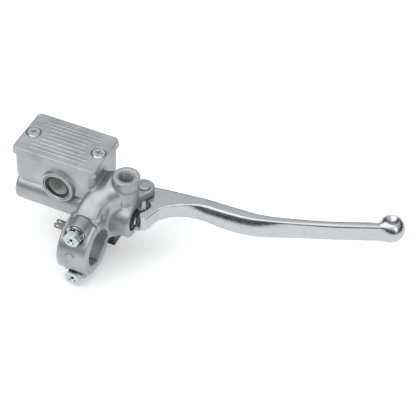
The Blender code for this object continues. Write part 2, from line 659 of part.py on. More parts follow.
def brake_switch():
    low = (SWITCH_X[0], SWITCH_Y[0], SWITCH_Z[0])
    high = (SWITCH_X[1], SWITCH_Y[1], SWITCH_Z[1])
    case = block("brake_switch_body", low, high)
    axis = (0, PLUNGER_Y, PLUNGER_Z)
    join(case, block("plunger_housing", (-8.0, 28.0, -9.0), (15.0, 37.0, -2.4)),
         block("terminal_housing", (-22.0, 14.0, SWITCH_Z[0] + 0.5), (-11.5, 22.0, SWITCH_Z[1] - 0.4)))
    cut(case,
        rod("plunger_bore", "X", axis, (2.0, 40), 1.75, 16),
        rod("spring_bore", "X", axis, (-6.0, 6.0), 2.1, 16),
        rod("screw_hole", "Z", (-6.0, 21.5, 0), (-40, 10), 1.9, 12))
    low_z, high_z = TERMINAL_Z
    for _, y in TERMINALS:
        cut(case, block("terminal_slot", (-30, y - 0.7, low_z - GAP),
                        (-18.0, y + 0.7, high_z + GAP)))
    finish(case, BLACK_PLASTIC)
    for name, y in TERMINALS:
        blade = block(name, (-30.6, y - 0.4, low_z), (-18.3, y + 0.4, high_z))
        cut(blade, rod("blade_hole", "Y", (-28.3, 0, (low_z + high_z) / 2), (0, 40), 1.0, 12))
        finish(blade, BRASS)
    plunger = turned("switch_plunger", "X", axis, [
        (0.0, PLUNGER_TIP_X), (1.0, PLUNGER_TIP_X), (1.45, PLUNGER_TIP_X - 0.5), (1.45, 4.4),
        (0.0, 4.4)], 16)
    finish(plunger, WHITE_PLASTIC)
    coil("switch_plunger_spring", (-5.7, PLUNGER_Y, PLUNGER_Z), 9.8, 1.35, 0.25, 6)
    screw = turned("switch_screw", "Z", (-6.0, 21.5, 0), [
        (0.0, -1.5), (1.55, -1.5), (1.55, -15.3), (3.1, -15.3), (3.1, -16.8), (2.2, -17.4),
        (0.0, -17.4)], 16)
    cut(screw, block("screw_slot", (-12, 21.1, -20), (0, 21.9, -16.6)))
    finish(screw, ZINC)
    return plunger


# ---------------------------------------------------------------- assembly


def axis_empty(name, spot, pieces):
    """An empty on a joint's axis, which carries the pieces that move on it."""
    empty = bpy.data.objects.new(name, None)
    PARTS.objects.link(empty)
    empty.location = Vector(mm(v) for v in spot)
    bpy.context.view_layer.update()
    for piece in pieces:
        piece.parent = empty
        piece.matrix_parent_inverse = empty.matrix_world.inverted()
    return empty


def main():
    master_cylinder_body()
    clamp_cap()
    clamp_hardware()
    reservoir_cover()
    cover_screw("cover_screw_left", -1)
    cover_screw("cover_screw_right", 1)
    diaphragm_plate()
    cover_diaphragm()
    splash_guard()
    sight_glass()
    hydraulic_group = hydraulics()
    coil("piston_return_spring", (-46.6, AXIS_Y, AXIS_Z), 35.2, 4.9, 0.6, 8)
    lever_piece = lever()
    bush = pivot_hardware()
    plunger = brake_switch()
    axis_empty("lever_pivot_axis", (PIVOT_X, PIVOT_Y, AXIS_Z), [lever_piece, bush])
    axis_empty("piston_axis", (0.0, AXIS_Y, AXIS_Z), hydraulic_group)
    axis_empty("switch_plunger_axis", (0.0, PLUNGER_Y, PLUNGER_Z), [plunger])


main()
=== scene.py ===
"""The finished look of a motorcycle brake master cylinder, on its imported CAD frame.

Every size in the shape functions is in millimetres, in the frame's axes: the origin is the
centre of the handlebar clamp's bore, +X outboard, +Y forward, +Z up.
"""

import bmesh
import bpy
import numpy as np
from mathutils import Matrix, Vector


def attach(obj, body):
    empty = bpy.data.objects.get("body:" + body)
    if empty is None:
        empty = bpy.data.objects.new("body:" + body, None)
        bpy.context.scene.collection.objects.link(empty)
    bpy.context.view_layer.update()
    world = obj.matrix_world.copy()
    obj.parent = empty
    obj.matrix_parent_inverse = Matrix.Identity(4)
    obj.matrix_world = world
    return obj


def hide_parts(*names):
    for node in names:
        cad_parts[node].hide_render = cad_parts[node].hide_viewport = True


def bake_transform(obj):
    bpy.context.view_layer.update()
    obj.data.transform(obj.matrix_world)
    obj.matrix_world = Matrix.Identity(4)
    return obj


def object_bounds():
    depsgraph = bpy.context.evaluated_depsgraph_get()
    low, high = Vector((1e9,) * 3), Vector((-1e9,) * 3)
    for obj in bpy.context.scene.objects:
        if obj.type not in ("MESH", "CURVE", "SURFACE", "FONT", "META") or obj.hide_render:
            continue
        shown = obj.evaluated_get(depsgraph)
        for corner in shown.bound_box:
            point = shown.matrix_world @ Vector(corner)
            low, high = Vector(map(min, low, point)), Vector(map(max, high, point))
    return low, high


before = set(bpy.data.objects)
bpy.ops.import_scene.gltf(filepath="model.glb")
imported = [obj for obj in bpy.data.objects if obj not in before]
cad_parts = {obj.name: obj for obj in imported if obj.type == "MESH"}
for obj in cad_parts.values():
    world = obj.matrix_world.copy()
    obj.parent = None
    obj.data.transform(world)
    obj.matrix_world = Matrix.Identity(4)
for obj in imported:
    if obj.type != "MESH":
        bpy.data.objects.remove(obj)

bl_info = {
    "name": "Brake master cylinder",
    "version": (1, 0, 0),
    "blender": (4, 5, 0),
    "location": "View3D > Sidebar > Brake",
    "description": "Builds the finished look of a brake master cylinder on its CAD frame",
    "category": "Add Mesh",
}

CAD_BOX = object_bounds()
MM = 0.001

# ---------------------------------------------------------------- sizes, in millimetres
BAR_R, CLAMP_R, CLAMP_HALF = 12.75, 19.5, 10.5
SPLIT = 0.4                      # each clamp half stops this far from the parting plane
BOLT_Z, LUG_R, LUG_DEPTH, SPOTFACE_Y = 18.0, 7.3, 13.0, -10.0
BORE_Y, BORE_Z = 25.0, 11.0      # the hydraulic bore's axis
BORE_R, COUNTERBORE_R, PORT_R = 7.0, 8.6, 4.9
BORE_END, COUNTERBORE_X, PORT_X = -47.0, 16.5, -46.0
BARREL_R, BARREL_END = 11.3, -58.5
MOUTH_X, MOUTH_R = 26.0, 13.5
COVER = (-28.9, 34.0)            # the reservoir's and cover's centre, x and y
COVER_SIZE = (60.5, 39.2)
COVER_TOP, COVER_LOW = 50.2, 45.2
SCREW_X = 23.8                   # each cover screw's distance from that centre
REBATE_Z = 43.7                  # the step in the rim that the diaphragm lies on
GLASS = (-25.5, 28.5)            # the sight glass's centre, x and z
GLASS_FACE = 12.6
BOSS = (18.0, 27.5)              # the mirror boss's centre, x and y
PIVOT = (22.8, 45.6)
CAM = (32.0, 25.5)               # the centre of the lever's nose
BALL = (184.7, 90.8, 11.0)
BALL_R = 9.4
PLUNGER = (33.5, -5.6)           # the switch plunger's axis, y and z
SWITCH_SCREW = (-6.0, 21.5)      # the switch screw's centre, x and y
BLADES = {"a": 16.0, "b": 20.0}  # each terminal's place in y
POLE_R = 0.004                   # the circle that stands for a point on a turned piece's axis
WELD = 0.01                      # points closer than this become one, which closes the poles


# ---------------------------------------------------------------- properties


def linear(code):
    """An sRGB hex colour as linear red, green and blue."""
    value = np.array([int(code[i:i + 2], 16) for i in (1, 3, 5)]) / 255.0
    return tuple(np.where(value <= 0.04045, value / 12.92, ((value + 0.055) / 1.055) ** 2.4))


def length(label, text, default):
    """A length property whose default is given in millimetres."""
    return bpy.props.FloatProperty(name=label, description=text, default=default * MM,
                                   unit="LENGTH", precision=5)


def colour(label, text, code):
    """A colour property whose default is given as sRGB hex."""
    return bpy.props.FloatVectorProperty(name=label, description=text, default=linear(code),
                                         subtype="COLOR", min=0.0, max=1.0)


class BrakeSizes(bpy.types.PropertyGroup):
    """Sizes of the surface detail."""
    cast_cell: length("Casting cell", "Grid step of the casting's and cap's surface", 0.62)
    lever_cell: length("Lever cell", "Grid step of the lever's surface", 0.62)
    cover_cell: length("Cover cell", "Grid step of the cover's surface", 0.40)
    mark_height: length("Mark height", "How far the cast marks stand up", 0.35)
    grain: length("Cast grain", "Size of the blasted grain on the castings", 0.7)


class BrakeColours(bpy.types.PropertyGroup):
    """Colours of the finishes."""
    casting: colour("Casting", "Silver paint on the castings", "#B1B5B8")
    lever: colour("Lever", "Clear coated lever", "#BBBFC2")
    zinc: colour("Zinc", "Bright zinc plate", "#C3CDCD")
    steel: colour("Steel", "Spring and stamped steel", "#A9ACAF")
    rubber: colour("Rubber", "Moulded rubber", "#0C0D0E")
    plastic: colour("Plastic", "Switch case", "#0E1011")
    floor: colour("Floor", "Studio floor", "#F4F5F5")


# ---------------------------------------------------------------- signed distance fields


def smooth_min(a, b, blend):
    """The lower of two fields, with a fillet of about blend where they are level."""
    mix = np.clip(0.5 + 0.5 * (b - a) / blend, 0.0, 1.0)
    return b * (1.0 - mix) + a * mix - blend * mix * (1.0 - mix)


def smooth_max(a, b, blend):
    """The higher of two fields, with a fillet: the lower of both turned over."""
    return -smooth_min(-a, -b, blend)


def together(across, along, edge):
    """Two distances that must both be negative, with an edge radius where they meet."""
    across, along = across + edge, along + edge
    out = np.hypot(np.maximum(across, 0.0), np.maximum(along, 0.0))
    return out + np.minimum(np.maximum(across, along), 0.0) - edge


def disc(u, v, w, centre, radius, span, edge=0.3):
    """A cylinder along w through centre (u, v), between the two ends of span."""
    middle, half = (span[0] + span[1]) / 2, (span[1] - span[0]) / 2
    return together(np.hypot(u - centre[0], v - centre[1]) - radius, abs(w - middle) - half, edge)


def rectangle(x, y, centre, size, corner):
    """Distance to a rectangle with round corners, in its plane."""
    u = abs(x - centre[0]) - size[0] / 2 + corner
    v = abs(y - centre[1]) - size[1] / 2 + corner
    out = np.hypot(np.maximum(u, 0.0), np.maximum(v, 0.0))
    return out + np.minimum(np.maximum(u, v), 0.0) - corner


def block(x, y, z, low, high, edge=0.4):
    """A box between two corners, with round edges."""
    middle = [(a + b) / 2 for a, b in zip(low, high)]
    half = [(b - a) / 2 for a, b in zip(low, high)]
    flat = rectangle(x, y, middle[:2], (2 * half[0], 2 * half[1]), edge)
    return together(flat, abs(z - middle[2]) - half[2], edge)


def polygon(u, v, corners):
    """Distance to a polygon's outline: the nearest side, negative inside by even crossings."""
    best, inside = np.inf, False
    for (au, av), (bu, bv) in zip(corners, corners[1:] + corners[:1]):
        du, dv = bu - au, bv - av
        t = np.clip(((u - au) * du + (v - av) * dv) / (du * du + dv * dv), 0.0, 1.0)
        best = np.minimum(best, np.hypot(u - au - t * du, v - av - t * dv))
        straddles = (av > v) != (bv > v)
        side = (u < au + (v - av) * du / (dv if dv else 1e-9))
        inside = inside ^ (straddles & side)
    return np.where(inside, -best, best)


def capsule(x, y, a, ra, b, rb):
    """Distance to the hull of two discs, by a radius that changes along their axis."""
    run = (b[0] - a[0], b[1] - a[1])
    t = np.clip(((x - a[0]) * run[0] + (y - a[1]) * run[1]) / (run[0] ** 2 + run[1] ** 2), 0, 1)
    return np.hypot(x - a[0] - t * run[0], y - a[1] - t * run[1]) - (ra + (rb - ra) * t)


def surface_net(field, low, high, cell):
    """Points and quads of the surface where field is 0.

    Each grid cell that the surface crosses holds one point, the mean of the crossings on
    its sides. Each crossed grid edge gives a quad between its four cells. The points then
    slide down the field's slope onto the surface.
    """
    axes = [np.arange(l, h + cell, cell) for l, h in zip(low, high)]
    grid = np.broadcast_to(field(*np.ix_(*axes)), [len(a) for a in axes])
    inside = grid < 0.0
    places, cells = [], []
    quads = []
    for u in range(3):
        v, w = (u + 1) % 3, (u + 2) % 3
        lower, upper = [slice(None)] * 3, [slice(None)] * 3
        lower[u], upper[u] = slice(0, -1), slice(1, None)
        node = np.argwhere(inside[tuple(lower)] != inside[tuple(upper)])
        far = node.copy()
        far[:, u] += 1
        first, last = grid[tuple(node.T)], grid[tuple(far.T)]
        place = np.array(low) + cell * node
        place[:, u] += cell * first / (first - last)
        ring = []
        for step_v, step_w in ((0, 0), (1, 0), (1, 1), (0, 1)):
            near = node.copy()
            near[:, v] -= step_v
            near[:, w] -= step_w
            ring.append(np.ravel_multi_index(near.T, grid.shape))
            places.append(place)
            cells.append(ring[-1])
        ring = np.stack(ring, 1)
        quads.append(np.where((first < 0.0)[:, None], ring, ring[:, ::-1]))
    names, where = np.unique(np.concatenate(cells), return_inverse=True)
    places = np.concatenate(places)
    count = np.bincount(where)
    points = np.stack([np.bincount(where, places[:, i]) / count for i in range(3)], 1)
    for _ in range(3):
        points -= slope_step(field, points, cell)
    return points, np.searchsorted(names, np.concatenate(quads))


def slope_step(field, points, cell):
    """The step that takes each point onto the field's zero, no longer than half a cell."""
    reach = 0.05 * cell
    slope = np.empty_like(points)
    for i in range(3):
        ahead, behind = points.copy(), points.copy()
        ahead[:, i] += reach
        behind[:, i] -= reach
        slope[:, i] = (field(*ahead.T) - field(*behind.T)) / (2.0 * reach)
    size = np.maximum((slope ** 2).sum(1), 0.25)
    step = slope * (field(*points.T) / size)[:, None]
    size = np.linalg.norm(step, axis=1, keepdims=True)
    return step * np.minimum(1.0, 0.5 * cell / np.maximum(size, 1e-9))


# ---------------------------------------------------------------- meshes


def put(name, shape, finish, body, replaced=(), crisp=None):
    """A piece from a shape's points in millimetres and its quads, turned outwards."""
    points, faces = np.asarray(shape[0], float) * MM, np.asarray(shape[1])
    a, b, c, d = (points[faces[:, i]] for i in range(4))
    volume = (np.cross(b - a, c - a) * a).sum() + (np.cross(c - a, d - a) * a).sum()
    if volume < 0.0:
        faces = faces[:, ::-1]
    mesh = bpy.data.meshes.new(name)
    mesh.vertices.add(len(points))
    mesh.vertices.foreach_set("co", points.astype(np.float32).ravel())
    mesh.loops.add(faces.size)
    mesh.loops.foreach_set("vertex_index", faces.astype(np.int32).ravel())
    mesh.polygons.add(len(faces))
    mesh.polygons.foreach_set("loop_start", np.arange(0, faces.size, 4, dtype=np.int32))
    mesh.update(calc_edges=True)
    mesh.validate()
    solid = bmesh.new()
    solid.from_mesh(mesh)
    bmesh.ops.remove_doubles(solid, verts=solid.verts, dist=WELD * MM)
    solid.to_mesh(mesh)
    solid.free()
    mesh.shade_smooth()
    if crisp:
        mesh.set_sharp_from_angle(angle=np.radians(crisp))
    mesh.materials.append(FINISHES[finish]())
    piece = bpy.data.objects.new(name, mesh)
    bpy.context.scene.collection.objects.link(piece)
    if replaced:
        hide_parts(*replaced)
    if body:
        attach(piece, body)
    return piece


def wrap(rows, cols, close_rows=False):
    """The quads of a grid of rows by cols points that closes on itself along its columns."""
    last = rows if close_rows else rows - 1
    r, c = np.meshgrid(np.arange(last), np.arange(cols), indexing="ij")
    r2, c2 = (r + 1) % rows, (c + 1) % cols
    return np.stack([r * cols + c, r * cols + c2, r2 * cols + c2, r2 * cols + c], -1).reshape(-1, 4)


AXES = {"X": (1, 2, 0), "Y": (2, 0, 1), "Z": (0, 1, 2)}


def turned(axis, centre, profile, sides=96, radius=None):
    """A profile of (radius, place along the axis) points carried round an axis.

    radius(r, angle, h) may change each point's radius, as for flats and threads. A profile
    that ends on the axis is closed by tiny circles, and one that doesn't is a ring.
    """
    profile = np.maximum(np.array(profile, float), [[POLE_R, -np.inf]])
    angle = np.arange(sides) * 2.0 * np.pi / sides
    r, h = profile[:, :1], np.broadcast_to(profile[:, 1:], (len(profile), sides))
    r = np.broadcast_to(r, h.shape) if radius is None else radius(r, angle[None, :], h)
    u, v, w = AXES[axis]
    points = np.zeros((*h.shape, 3))
    points[..., u], points[..., v], points[..., w] = r * np.cos(angle), r * np.sin(angle), h
    points += np.array(centre, float)
    solid = max(profile[0, 0], profile[-1, 0]) <= POLE_R
    return points.reshape(-1, 3), wrap(len(profile), sides, not solid)


def coil(axis_y, axis_z, start, end, radius, wire, turns, sides=12, steps=28):
    """A wire round a helix along X: a ring of points is carried along it, square to its run.

    The last turn at each end lies almost flat, and both ends taper shut.
    """
    t = np.linspace(0.0, 1.0, turns * steps + 1)
    angle = 2.0 * np.pi * turns * t
    lay = np.interp(t * turns, [0, 1, turns - 1, turns], [0.0, 0.06, 0.94, 1.0])
    along = start + wire + (end - start - 2 * wire) * lay
    path = np.stack([along, axis_y + radius * np.cos(angle), axis_z + radius * np.sin(angle)], 1)
    run = np.gradient(path, axis=0)
    run /= np.linalg.norm(run, axis=1, keepdims=True)
    out = np.stack([0 * angle, np.cos(angle), np.sin(angle)], 1)
    side = np.cross(run, out)
    spin = np.arange(sides) * 2 * np.pi / sides
    thick = wire * np.clip(np.minimum(t, 1 - t) * turns * steps, 0.005, 1.0)
    ring = out[:, None] * np.cos(spin)[:, None] + side[:, None] * np.sin(spin)[:, None]
    points = path[:, None] + ring * thick[:, None, None]
    return points.reshape(-1, 3), wrap(len(t), sides)


# ---------------------------------------------------------------- materials


def node(tree, kind, settings=None, **links):
    """Adds a node, sets its properties and sockets, and links named inputs to sockets."""
    made = tree.nodes.new(kind)
    for key, value in (settings or {}).items():
        if isinstance(key, str) and hasattr(made, key):
            setattr(made, key, value)
        else:
            made.inputs[key].default_value = value
    for key, source in links.items():
        tree.links.new(source, made.inputs[key.replace("_", " ")])
    return made


def shader(name, sockets):
    """A material with one Principled shader whose uniform values are its own sockets."""
    material = bpy.data.materials.get(name)
    if material:
        return material, None, None, None
    material = bpy.data.materials.new(name)
    material.use_nodes = True
    tree = material.node_tree
    base = tree.nodes["Principled BSDF"]
    for key, value in sockets.items():
        base.inputs[key].default_value = value
    spot = node(tree, "ShaderNodeTexCoord").outputs["Object"]
    return material, tree, base, spot


def shade(rgb, factor):
    """A colour made darker or lighter by a factor."""
    return tuple(min(1.0, c * factor) for c in rgb)


def dress(tree, base, dark, light, tone_by, span=(0.3, 0.7), gloss=None, relief=None):
    """Links patterns to a finish's sockets.

    tone_by runs from dark to light over span. gloss is a pattern and the two roughnesses it
    runs between. relief is a pattern, its height in metres and its strength.
    """
    ramp = node(tree, "ShaderNodeValToRGB", Fac=tone_by)
    for stop, place, rgb in zip(ramp.color_ramp.elements, span, (dark, light)):
        stop.position, stop.color = place, (*rgb, 1.0)
    tree.links.new(ramp.outputs["Color"], base.inputs["Base Color"])
    if gloss:
        rough = node(tree, "ShaderNodeMapRange", {
            "From Min": 0.3, "From Max": 0.7, "To Min": gloss[1], "To Max": gloss[2]},
            Value=gloss[0])
        tree.links.new(rough.outputs["Result"], base.inputs["Roughness"])
    if relief:
        bump = node(tree, "ShaderNodeBump", {"Distance": relief[1], "Strength": relief[2]},
                    Height=relief[0])
        tree.links.new(bump.outputs["Normal"], base.inputs["Normal"])


def cast_silver():
    """Silver paint on blasted die cast aluminium: a satin grey with a fine sandy grain.

    Blasted pits are usually 0.1 to 0.3 mm across, and are drawn at 0.7 mm so that they show.
    A second pattern of about 17 mm gives the paint's faint clouds.
    """
    grey = tuple(bpy.context.scene.brake_colours.casting)
    material, tree, base, spot = shader("painted_die_cast_aluminium", {
        "Metallic": 0.68, "Roughness": 0.39, "Coat Weight": 0.10, "Coat Roughness": 0.25})
    if tree:
        grain = 1.0 / bpy.context.scene.brake_sizes.grain
        fine = node(tree, "ShaderNodeTexNoise", {"Scale": grain, "Detail": 3.0, "Roughness": 0.65},
                    Vector=spot).outputs["Fac"]
        broad = node(tree, "ShaderNodeTexNoise", {"Scale": 60.0, "Detail": 4.0}, Vector=spot)
        mixed = node(tree, "ShaderNodeMath", {"operation": "MULTIPLY_ADD", 1: 0.35})
        tree.links.new(fine, mixed.inputs[0])
        tree.links.new(broad.outputs["Fac"], mixed.inputs[2])
        dress(tree, base, shade(grey, 0.72), shade(grey, 1.04), mixed.outputs[0], (0.45, 0.85),
              (fine, 0.31, 0.42), (fine, 0.00010, 0.7))
    return material


def lever_silver():
    """Clear coated cast alloy: smoother and brighter than the castings, with linished lines.

    The grit is 0.8 mm, and the lines are 0.7 mm apart and about 11 mm long, drawn along the
    lever and coarser than the real ones so that they show.
    """
    grey = tuple(bpy.context.scene.brake_colours.lever)
    material, tree, base, spot = shader("clear_coated_cast_alloy", {
        "Metallic": 1.0, "Roughness": 0.24, "Coat Weight": 0.15, "Coat Roughness": 0.12})
    if tree:
        turn = node(tree, "ShaderNodeMapping", {"Rotation": (0.0, 0.0, -0.30),
                                                "Scale": (0.06, 1.0, 1.0)}, Vector=spot)
        lines = node(tree, "ShaderNodeTexNoise", {"Scale": 1500.0, "Detail": 2.0},
                     Vector=turn.outputs["Vector"]).outputs["Fac"]
        grit = node(tree, "ShaderNodeTexNoise", {"Scale": 1300.0, "Detail": 3.0},
                    Vector=spot).outputs["Fac"]
        dress(tree, base, shade(grey, 0.92), shade(grey, 1.04), grit, (0.35, 0.65),
              (lines, 0.20, 0.30), (grit, 0.00002, 0.25))
    return material


def metal(name, tint, roughness, spread, scale, stretch=(1.0, 1.0, 1.0)):
    """A bare or plated metal whose tone and roughness change faintly, scale times a metre."""
    tint = tuple(tint)
    material, tree, base, spot = shader(name, {"Metallic": 1.0, "Roughness": roughness})
    if tree:
        place = node(tree, "ShaderNodeMapping", {"Scale": stretch}, Vector=spot)
        wave = node(tree, "ShaderNodeTexNoise", {"Scale": scale, "Detail": 3.0},
                    Vector=place.outputs["Vector"]).outputs["Fac"]
        dress(tree, base, shade(tint, 0.84), shade(tint, 1.04), wave,
              gloss=(wave, roughness - spread, roughness + spread), relief=(wave, 0.00002, 0.5))
    return material


def zinc_plate():
    """Bright zinc plate on steel: a cool grey with a soft mottle of about 1.1 mm."""
    return metal("bright_zinc_plate", bpy.context.scene.brake_colours.zinc, 0.26, 0.06, 900.0)


def spring_steel():
    """Drawn and stamped steel: darker and a little oily, in patches of about 1.4 mm."""
    return metal("drawn_spring_steel", bpy.context.scene.brake_colours.steel, 0.30, 0.05, 700.0)


def turned_alloy():
    """Fine turned aluminium: tool lines of about 0.45 mm round the piston's axis."""
    return metal("turned_aluminium", linear("#C9CBCD"), 0.26, 0.05, 2200.0, (1.0, 0.05, 0.05))


def sintered_bronze():
    """Oil filled sintered bronze: brown and matt with pores of about 0.4 mm."""
    return metal("sintered_bronze", linear("#A57C48"), 0.45, 0.06, 2500.0)


def tinned_brass():
    """Tinned brass blades gone dull: warm grey, stained in patches of about 1.3 mm."""
    return metal("tinned_brass", linear("#9A9484"), 0.42, 0.07, 800.0)


def soft(name, tint, roughness, scale, height, sheen=0.0):
    """A dark or pale moulding with a surface grain, scale times a metre."""
    material, tree, base, spot = shader(name, {"Roughness": roughness, "Sheen Weight": sheen,
                                               "IOR": 1.5})
    if tree:
        grain = node(tree, "ShaderNodeTexNoise", {"Scale": scale, "Detail": 4.0},
                     Vector=spot).outputs["Fac"]
        dress(tree, base, shade(tint, 0.75), shade(tint, 1.2), grain, relief=(grain, height, 0.5))
    return material


def black_rubber():
    """Moulded nitrile rubber: near black, matt, with a faint bloom and a grain of 0.8 mm."""
    return soft("moulded_nitrile_rubber", tuple(bpy.context.scene.brake_colours.rubber),
                0.5, 1200.0, 0.00003, 0.15)


def black_plastic():
    """Glass filled nylon switch case: near black with a moulded sheen, grain 0.7 mm."""
    return soft("glass_filled_nylon", tuple(bpy.context.scene.brake_colours.plastic),
                0.32, 1500.0, 0.00003)


def white_nylon():
    """Natural nylon: milky off-white, with flow marks of about 1.1 mm."""
    return soft("natural_nylon", linear("#D9D6CC"), 0.42, 900.0, 0.00001)


def smoked_glass():
    """Polycarbonate window: glossy, with painted shade to one side and a painted highlight to the
    other.

    The painted shade and highlight run from dark to pale across the window, broken by clouds of
    about 4 mm.
    """
    material, tree, base, spot = shader("polycarbonate_painted_shade_and_highlight", {
        "Roughness": 0.06, "IOR": 1.58, "Transmission Weight": 0.55, "Coat Weight": 0.6,
        "Coat Roughness": 0.03})
    if tree:
        turn = node(tree, "ShaderNodeMapping", {
            "Location": (-GLASS[0] * MM, 0.0, -GLASS[1] * MM)}, Vector=spot)
        # Painted shade and painted highlight: the lens is darkest inboard and high, and palest
        # outboard and low.
        painted_light_slant = node(tree, "ShaderNodeVectorMath", {"operation": "DOT_PRODUCT", 1: (70, 0, -75)})
        tree.links.new(turn.outputs["Vector"], painted_light_slant.inputs[0])
        cloud = node(tree, "ShaderNodeTexNoise", {"Scale": 260.0, "Detail": 2.0},
                     Vector=spot).outputs["Fac"]
        mixed = node(tree, "ShaderNodeMath", {"operation": "ADD"})
        tree.links.new(painted_light_slant.outputs["Value"], mixed.inputs[0])
        tree.links.new(cloud, mixed.inputs[1])
        # The dark colour is the painted shade and the pale colour is the painted highlight.
        dress(tree, base, linear("#101314"), linear("#B4B6AE"), mixed.outputs[0], (0.45, 1.0))
    return material


FINISHES = {f.__name__: f for f in (
    cast_silver, lever_silver, zinc_plate, spring_steel, turned_alloy, sintered_bronze,
    tinned_brass, black_rubber, black_plastic, white_nylon, smoked_glass)}

# ---------------------------------------------------------------- castings

# The arm is what three outlines have in common: from the side (y, z), from above (x, y) and
# from the rider (x, z).
ARM_SIDE = [(SPLIT, -6.0), (17.0, -6.0), (24.0, -4.0), (28.0, -1.6), (36.0, 4.0), (36.5, 20.0),
            (36.5, 37.5), (31.0, 39.8), (25.0, 39.3), (20.0, 37.3), (12.0, 32.4), (5.0, 27.8),
            (SPLIT, 24.6)]
ARM_PLAN = [(-9.0, -5.0), (10.3, -5.0), (10.3, 8.0), (12.6, 13.5), (18.6, 18.4), (18.4, 50.0),
            (-9.0, 50.0)]
ARM_FRONT = [(-30.0, -20.0), (30.0, -20.0), (30.0, 39.6), (6.0, 38.6), (-0.9, 35.0),
             (-6.9, 27.8), (-9.6, 21.0), (-30.0, 21.0)]


def clamp_ring(x, y, z, side):
    """Half of the clamp: a ring with round rims and two bolt lugs, cut at its parting plane."""
    ring = disc(y, z, x, (0.0, 0.0), CLAMP_R, (-CLAMP_HALF, CLAMP_HALF), 1.3)
    span = (-LUG_DEPTH, 0.0) if side < 0 else (0.0, LUG_DEPTH)
    for height in (-BOLT_Z, BOLT_Z):
        ring = smooth_min(ring, disc(x, z, y, (0.0, height), LUG_R, span, 0.9), 2.2)
    return smooth_max(ring, SPLIT - side * y, 0.5)


def screw_holes(x, y, radius):
    """Distance to the two cover screws' holes, seen from above."""
    return np.hypot(abs(x - COVER[0]) - SCREW_X, y - COVER[1]) - radius


def casting_field(x, y, z):
    """The body: its solids joined with fillets, less its holes, whose edges are broken."""
    top = smooth_max(polygon(y, z, ARM_SIDE), polygon(x, z, ARM_FRONT), 3.0)
    arm = smooth_max(top, polygon(x, y, ARM_PLAN), 7.0)
    barrel = disc(y, z, x, (BORE_Y, BORE_Z), BARREL_R, (BARREL_END, 22.0), 1.8)
    mouth = disc(y, z, x, (BORE_Y, BORE_Z), MOUTH_R, (13.0, MOUTH_X), 1.0)
    walls = rectangle(x, y, COVER, (COVER_SIZE[0] - 2.4, COVER_SIZE[1] - 1.8), 4.0)
    walls = together(walls, abs(z - 32.95) - 11.95, 0.5)
    walls = smooth_max(walls, 21.0 - z, 5.0)
    step = 1.0 / (1.0 + np.exp(-2.2 * (z - 36.5)))
    boss = np.hypot(x - BOSS[0], y - BOSS[1]) - (7.9 + 0.012 * (z - 17.0) + 0.85 * step)
    boss = together(boss, abs(z - 30.5) - 14.0, 0.7)
    glass = disc(x, z, y, GLASS, 12.0, (GLASS_FACE, 21.0), 0.8)
    ears = together(capsule(x, y, (13.0, 28.0), 8.0, PIVOT, 7.2), abs(z - 10.25) - 11.75, 1.0)
    pad = block(x, y, z, (-12.0, 17.5, -6.2), (8.0, 27.7, 5.0), 1.0)
    body = arm
    for part, fillet in ((walls, 1.5), (clamp_ring(x, y, z, 1), 2.6), (barrel, 2.5), (mouth, 2.5),
                         (glass, 0.9), (ears, 2.0), (pad, 1.0), (boss, 0.9)):
        body = smooth_min(body, part, fillet)
    cavity = rectangle(x, y, COVER, (COVER_SIZE[0] - 9.2, COVER_SIZE[1] - 8.6), 3.0)
    cavity = together(cavity, 25.0 - z, 1.5)
    cavity = np.maximum(cavity, -np.maximum(screw_holes(x, y, 4.0), z - REBATE_Z))
    rebate = rectangle(x, y, COVER, (COVER_SIZE[0] - 5.6, COVER_SIZE[1] - 5.0), 3.5)
    off_axis = np.hypot(y - BORE_Y, z - BORE_Z)
    off_glass = np.hypot(x - GLASS[0], z - GLASS[1])
    lever_slot = np.maximum(np.maximum(14.6 - x, 27.0 - y), abs(z - BORE_Z) - 5.8)
    finger_slot = np.maximum(np.maximum(17.6 - x, abs(y - 33.55) - 4.25), z - BORE_Z)
    fluid_ports = np.hypot(np.minimum(abs(x + 13.0), abs(x + 5.5)), y - BORE_Y) - 1.2
    holes = [
        cavity,
        np.maximum(rebate, REBATE_Z - z),
        np.hypot(y, z) - BAR_R,  # handlebar
        np.maximum(off_axis - BORE_R, BORE_END - x),
        np.maximum(off_axis - COUNTERBORE_R, COUNTERBORE_X - x),
        np.maximum(off_axis - PORT_R, x - PORT_X),
        np.maximum(np.hypot(x - BOSS[0], y - BOSS[1]) - 5.25, 24.0 - z),  # mirror
        np.hypot(x - PIVOT[0], y - PIVOT[1]) - 4.3,  # pivot bolt
        lever_slot,
        finger_slot,
        np.maximum(off_glass - 10.0, y - GLASS_FACE - 3.0),  # window's seat
        np.maximum(off_glass - 6.0, y - 22.0),
        np.maximum(np.hypot(x, abs(z) - BOLT_Z) - 3.25, y - 16.0),  # clamp bolts
        np.maximum(screw_holes(x, y, 2.1), 31.0 - z),
        np.maximum(fluid_ports, abs(z - 20.5) - 9.5),
        np.maximum(np.hypot(x - SWITCH_SCREW[0], y - SWITCH_SCREW[1]) - 1.9, z - 1.0),
    ]
    for hole in holes:
        body = smooth_max(body, -hole, 0.45)
    return body


def arrow(u, v):
    """Distance to a plain upward arrow: a triangle over a short bar."""
    head = polygon(u, v, [(-3.6, 0.2), (3.6, 0.2), (0.0, 4.2)])
    return np.minimum(head, np.maximum(abs(u) - 1.2, abs(v + 1.8) - 2.6))


